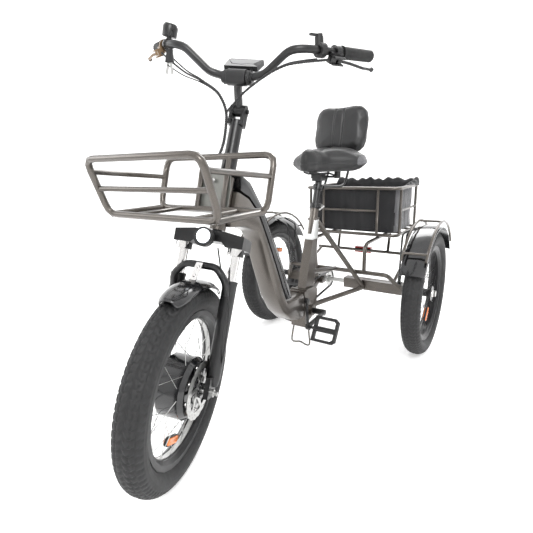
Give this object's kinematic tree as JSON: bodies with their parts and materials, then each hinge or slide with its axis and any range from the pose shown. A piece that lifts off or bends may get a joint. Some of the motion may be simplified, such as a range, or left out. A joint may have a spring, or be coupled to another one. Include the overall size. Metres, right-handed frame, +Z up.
{
  "type": "adult tricycle",
  "caption": "Electric folding adult tricycle with fat tyres, a front hub motor, sprung fork, swept handlebar, wide saddle with backrest, and front and rear baskets.",
  "frame": {"origin": "on the ground, below the centre of the bounding box", "axes": "+X to the rider's left, +Y towards the back, +Z up"},
  "size_m": [0.8956, 1.828, 1.251],
  "materials": {
    "frame_paint": "satin metallic",
    "black_metal": "satin",
    "black_gloss": "gloss",
    "black_plastic": "matte",
    "grip_rubber": "matte",
    "tyre_rubber": "matte",
    "steel": "brushed",
    "seat_vinyl": "satin",
    "liner_fabric": "matte woven",
    "tail_red": "gloss",
    "grey_plate": "satin",
    "battery_case": "matte"
  },
  "bodies": {
    "rear_frame": {"rear_frame": "frame_paint", "hinge_pin": "steel", "rear_basket": "frame_paint", "basket_liner": "liner_fabric", "fender_left": "black_gloss", "fender_right": "black_gloss", "fender_guard_left": "frame_paint", "fender_guard_right": "frame_paint", "tail_light": "tail_red", "seat_clamp": "black_metal", "chain": "black_metal"},
    "front_frame": {"main_tube": "frame_paint", "battery_cover": "black_gloss", "battery_pack": "battery_case", "front_basket": "frame_paint", "basket_bracket": "grey_plate"},
    "latch": {"latch_lever": "black_metal"},
    "steering": {"fork_upper": "black_metal", "headlight": "black_plastic", "stem_lower": "black_metal", "cable_loom": "black_plastic"},
    "fork_slider": {"fork_lowers": "black_metal", "front_fender": "black_gloss", "front_axle": "steel", "brake_caliper": "black_metal"},
    "front_wheel": {"front_tyre": "tyre_rubber", "front_rim": "black_metal", "front_spokes": "steel", "hub_motor": "black_metal", "brake_rotor": "steel"},
    "bar": {"stem_upper": "black_metal", "handlebar": "black_metal", "grip_left": "grip_rubber", "grip_right": "grip_rubber", "lever_mount_left": "black_metal", "lever_mount_right": "black_metal", "bell": "black_metal", "throttle": "black_plastic", "display": "black_plastic"},
    "lever_left": {"brake_lever_left": "black_metal"},
    "lever_right": {"brake_lever_right": "black_metal"},
    "striker": {"bell_striker": "black_plastic"},
    "thumb_lever": {"throttle_lever": "black_plastic"},
    "key_ring": {"keys": "black_plastic"},
    "rear_wheel_left": {"rear_tyre_left": "tyre_rubber", "rear_rim_left": "black_metal", "rear_hub_left": "steel", "rear_axle": "steel"},
    "rear_wheel_right": {"rear_tyre_right": "tyre_rubber", "rear_rim_right": "black_metal", "rear_hub_right": "steel"},
    "crank": {"crankset": "black_metal"},
    "pedal_left": {"pedal_left": "black_plastic"},
    "pedal_right": {"pedal_right": "black_plastic"},
    "seat": {"seatpost": "black_metal", "saddle_frame": "steel", "saddle": "seat_vinyl", "backrest_frame": "black_metal", "backrest_pad": "seat_vinyl"},
    "seat_lever": {"seat_clamp_lever": "steel"}
  },
  "joints": [
    {"name": "fold_hinge", "type": "hinge", "parent": "rear_frame", "child": "front_frame", "pos_m": [-0.048, 0.0364, 0.27], "axis": [0, 0, 1], "range_deg": [-90, 0]},
    {"name": "latch_turn", "type": "hinge", "parent": "front_frame", "child": "latch", "pos_m": [0.043, 0.0264, 0.312], "axis": [1, 0, 0], "range_deg": [-80, 0]},
    {"name": "steering_turn", "type": "hinge", "parent": "front_frame", "child": "steering", "pos_m": [0, -0.4436, 0.6616], "axis": [0, 0.3551, 0.9348], "range_deg": [-60, 20]},
    {"name": "fork_travel", "type": "slide", "parent": "steering", "child": "fork_slider", "axis": [0, 0.3551, 0.9348], "range_m": [0, 0.03], "stiffness_N_per_m": 8000, "springref_m": -0.03},
    {"name": "front_wheel_spin", "type": "hinge", "parent": "fork_slider", "child": "front_wheel", "pos_m": [0.02019, -0.65027, 0.27374], "axis": [0.9397, 0.3197, -0.1215], "continuous": true},
    {"name": "stem_tilt", "type": "hinge", "parent": "steering", "child": "bar", "pos_m": [0, -0.31477, 1.00075], "axis": [0.9397, 0.3197, -0.1215], "range_deg": [-20, 35], "deforming": ["cable_loom"]},
    {"name": "brake_pull_left", "type": "hinge", "parent": "bar", "child": "lever_left", "pos_m": [0.27104, -0.2123, 1.11478], "axis": [0.4973, -0.2153, 0.8404], "range_deg": [0, 12], "stiffness_Nm_per_rad": 0.8, "springref_deg": -17.19},
    {"name": "brake_pull_right", "type": "hinge", "parent": "bar", "child": "lever_right", "pos_m": [-0.24317, -0.38726, 1.18124], "axis": [0.0598, 0.4049, -0.9124], "range_deg": [0, 12], "stiffness_Nm_per_rad": 0.8, "springref_deg": -17.19},
    {"name": "bell_strike", "type": "hinge", "parent": "bar", "child": "striker", "pos_m": [-0.15598, -0.41129, 1.21306], "axis": [0.2748, 0.0725, 0.9588], "range_deg": [0, 25], "stiffness_Nm_per_rad": 0.05, "springref_deg": -17.19},
    {"name": "throttle_push", "type": "hinge", "parent": "bar", "child": "thumb_lever", "pos_m": [0.23088, -0.25492, 1.17476], "axis": [-0.0352, -0.033, 0.9988], "range_deg": [0, 30], "stiffness_Nm_per_rad": 0.05, "springref_deg": -17.19},
    {"name": "keys_swing", "type": "hinge", "parent": "bar", "child": "key_ring", "pos_m": [-0.16312, -0.41318, 1.18813], "axis": [0.8125, -0.5508, -0.1912], "range_deg": [-25, 25]},
    {"name": "rear_wheel_left_spin", "type": "hinge", "parent": "rear_frame", "child": "rear_wheel_left", "pos_m": [0.397, 0.4764, 0.275], "axis": [1, 0, 0], "continuous": true},
    {"name": "rear_wheel_right_spin", "type": "hinge", "parent": "rear_frame", "child": "rear_wheel_right", "pos_m": [-0.397, 0.4764, 0.275], "axis": [1, 0, 0], "continuous": true},
    {"name": "crank_spin", "type": "hinge", "parent": "rear_frame", "child": "crank", "pos_m": [0, 0.0884, 0.25], "axis": [1, 0, 0], "continuous": true},
    {"name": "pedal_left_spin", "type": "hinge", "parent": "crank", "child": "pedal_left", "pos_m": [0, -0.06151, 0.24477], "axis": [1, 0, 0], "continuous": true},
    {"name": "pedal_right_spin", "type": "hinge", "parent": "crank", "child": "pedal_right", "pos_m": [0, 0.23831, 0.25523], "axis": [1, 0, 0], "continuous": true},
    {"name": "seat_height", "type": "slide", "parent": "rear_frame", "child": "seat", "axis": [0, 0.3022, 0.9533], "range_m": [-0.015, 0.06]},
    {"name": "seat_lever_turn", "type": "hinge", "parent": "rear_frame", "child": "seat_lever", "pos_m": [0.013, 0.21123, 0.672], "axis": [1, 0, 0], "range_deg": [-90, 0]}
  ]
}
